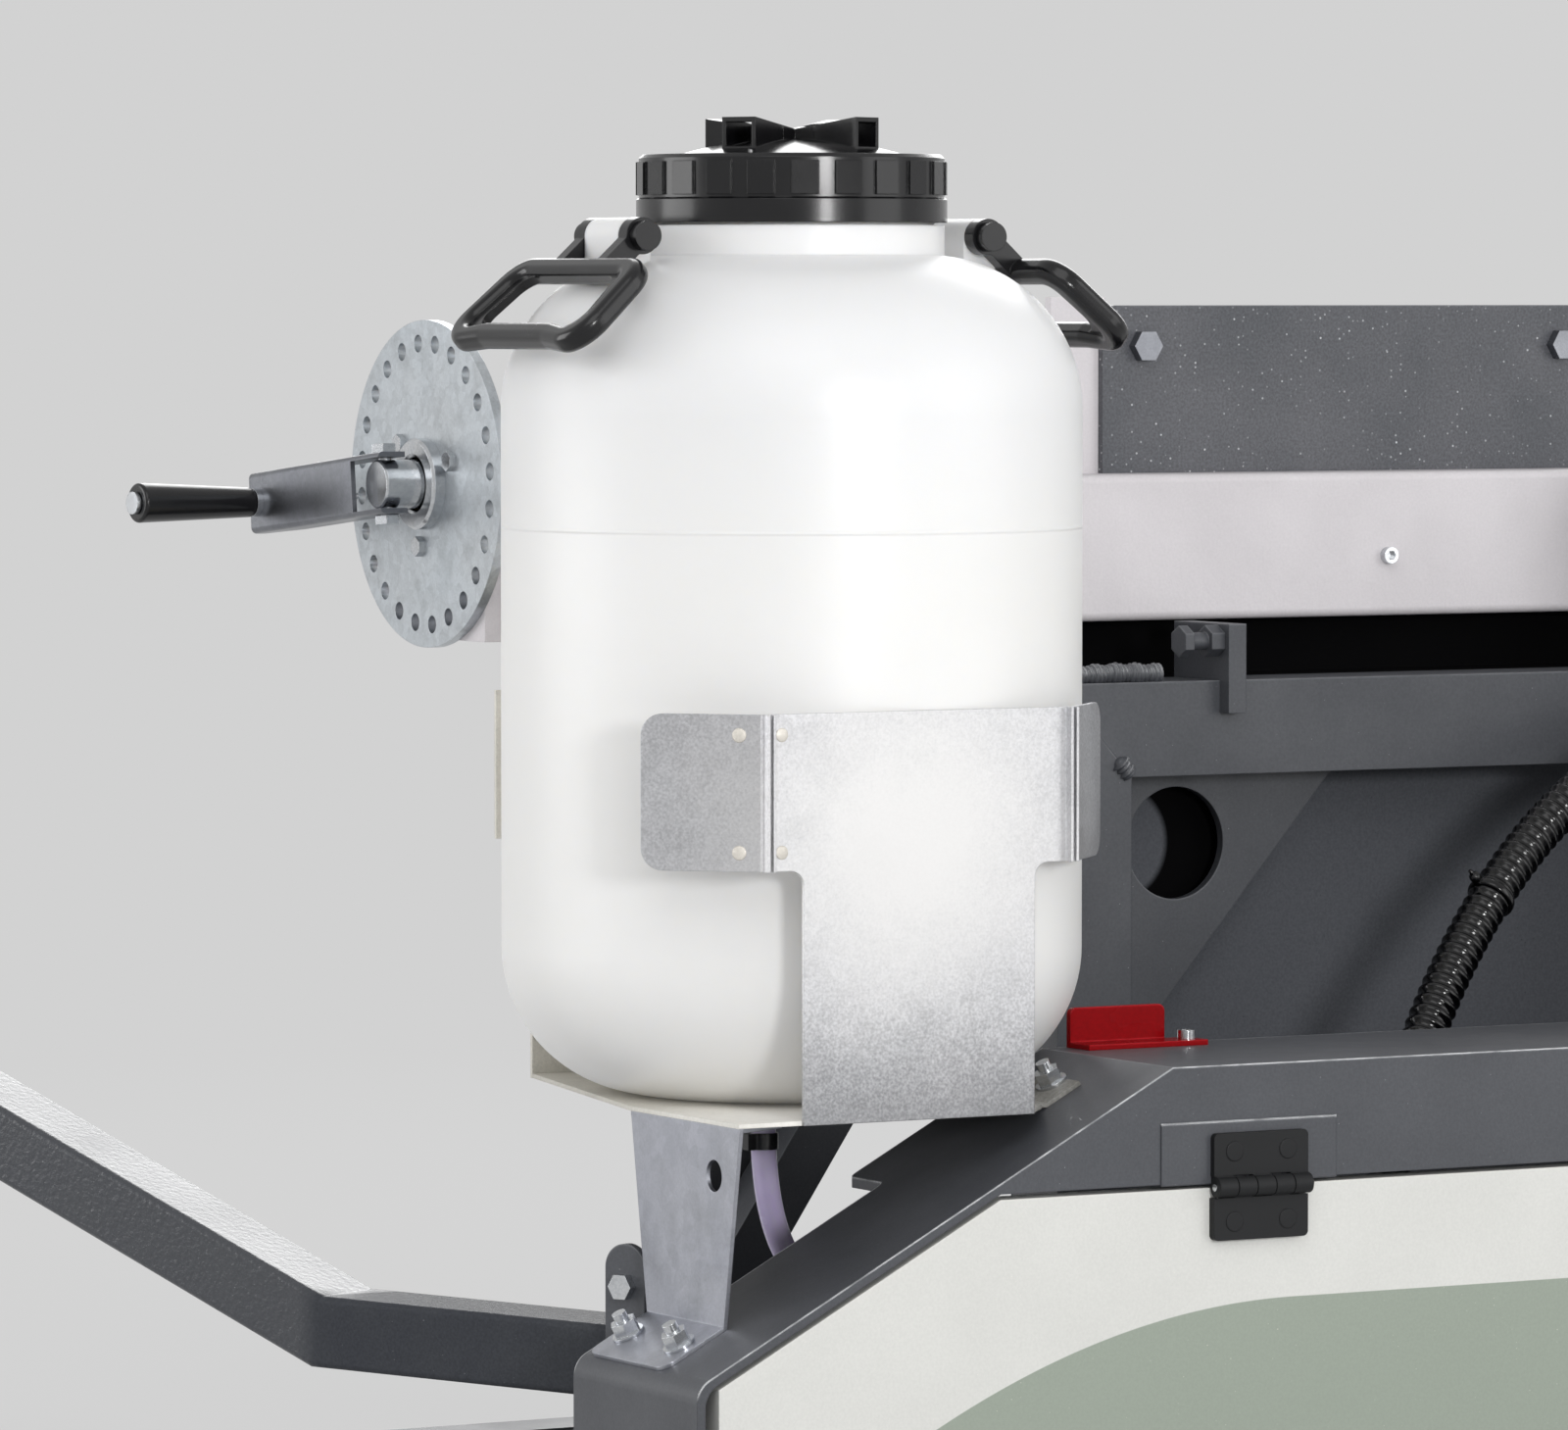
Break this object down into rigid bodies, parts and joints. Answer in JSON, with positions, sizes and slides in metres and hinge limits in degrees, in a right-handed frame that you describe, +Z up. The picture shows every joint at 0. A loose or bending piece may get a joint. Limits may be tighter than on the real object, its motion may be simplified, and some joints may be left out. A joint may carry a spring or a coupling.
{
  "type": "wet grinding sharpener end unit",
  "caption": "Coolant and index end of a wet grinding sharpener: drum with screw lid and swing handles in a sheet cradle, index crank, and frame end with hinged cover door.",
  "frame": {"origin": "centre of the four base bolt holes, on the floor plane under the base frame", "axes": "+X runs along the machine away from the tank end, +Y away from the operator, +Z up"},
  "size_m": [1.0369, 0.6711, 0.7795],
  "materials": {
    "tank_plastic": "natural translucent",
    "black_plastic": "gloss",
    "seal_rubber": "matt",
    "hose_pvc": "clear tinted",
    "pump_iron": "painted",
    "motor_paint": "satin",
    "galvanised": "galvanised",
    "zinc": "bright zinc",
    "disc_zinc": "zinc plate",
    "bronze": "turned",
    "dark_paint": "textured powder coat",
    "pale_paint": "orange peel powder coat",
    "cream_paint": "satin",
    "red_paint": "gloss",
    "hinge_plastic": "matt",
    "conduit_plastic": "gloss"
  },
  "bodies": {
    "machine": {"tank_body": "tank_plastic", "handle_pins": "black_plastic", "outlet_nipple": "black_plastic", "outlet_nut": "black_plastic", "hose_clamps": "black_plastic", "arm_cap": "black_plastic", "outlet_seal": "seal_rubber", "coolant_hose": "hose_pvc", "pump_body": "pump_iron", "pump_motor": "motor_paint", "cradle_tray": "galvanised", "front_bracket": "galvanised", "rear_bracket": "galvanised", "cradle_leg": "galvanised", "cradle_bolts": "zinc", "cradle_washers": "zinc", "cradle_nuts": "zinc", "disc_bolts": "zinc", "hub_collar": "zinc", "back_plate_bolts": "zinc", "cap_screws": "zinc", "arm_bolts": "zinc", "hinge_pins": "zinc", "index_disc": "disc_zinc", "shaft_bush": "bronze", "front_rail": "dark_paint", "base_frame": "dark_paint", "floor_pan": "dark_paint", "rear_post": "dark_paint", "top_rail": "dark_paint", "gusset_plate": "dark_paint", "back_panel": "dark_paint", "rear_strut": "dark_paint", "end_bulkhead": "dark_paint", "beam_stand": "dark_paint", "back_plate": "dark_paint", "support_arm": "dark_paint", "arm_bracket": "dark_paint", "stop_block": "dark_paint", "stop_bolt": "dark_paint", "bearing_block": "dark_paint", "beam": "pale_paint", "beam_end_plate": "pale_paint", "back_brackets": "pale_paint", "red_stop": "red_paint", "hinge_frame_leaves": "hinge_plastic", "conduit": "conduit_plastic"},
    "lid_lift": {"lid_seal": "seal_rubber"},
    "lid": {"lid_cap": "black_plastic"},
    "left_handle": {"left_handle": "black_plastic"},
    "right_handle": {"right_handle": "black_plastic"},
    "crank": {"crank_shaft": "zinc", "lever_pin": "zinc"},
    "lever": {"crank_lever": "zinc", "index_pin": "zinc", "grip_rod": "zinc"},
    "grip": {"crank_grip": "black_plastic"},
    "door": {"cover_door": "cream_paint", "hinge_door_leaves": "hinge_plastic"}
  },
  "joints": [
    {"name": "lid_rise", "type": "slide", "parent": "machine", "child": "lid_lift", "axis": [0, 0, 1], "range_m": [0, 0.00905]},
    {"name": "lid_turn", "type": "hinge", "parent": "lid_lift", "child": "lid", "pos_m": [-0.261, -0.028, 0.752], "axis": [0, 0, 1], "range_deg": [0, 540]},
    {"name": "left_handle_swing", "type": "hinge", "parent": "machine", "child": "left_handle", "pos_m": [-0.369, -0.028, 0.715], "axis": [0, 1, 0], "range_deg": [0, 115]},
    {"name": "right_handle_swing", "type": "hinge", "parent": "machine", "child": "right_handle", "pos_m": [-0.153, -0.028, 0.715], "axis": [0, -1, 0], "range_deg": [0, 115]},
    {"name": "crank_turn", "type": "hinge", "parent": "machine", "child": "crank", "pos_m": [-0.352, 0.234, 0.576], "axis": [1, 0, 0], "continuous": true},
    {"name": "lever_tilt", "type": "hinge", "parent": "crank", "child": "lever", "pos_m": [-0.377, 0.234, 0.576], "axis": [0, 0.1045, 0.9945], "range_deg": [-5, 8]},
    {"name": "grip_spin", "type": "hinge", "parent": "lever", "child": "grip", "pos_m": [-0.40041, 0.35176, 0.56362], "axis": [-0.9962, -0.0867, 0.0091], "continuous": true},
    {"name": "door_swing", "type": "hinge", "parent": "machine", "child": "door", "pos_m": [0, -0.224, 0.2035], "axis": [-1, 0, 0], "range_deg": [0, 110]}
  ],
  "couplings": [
    {"joint": "lid_rise", "follows": "lid_turn", "m_per_rad": 0.00095493}
  ]
}
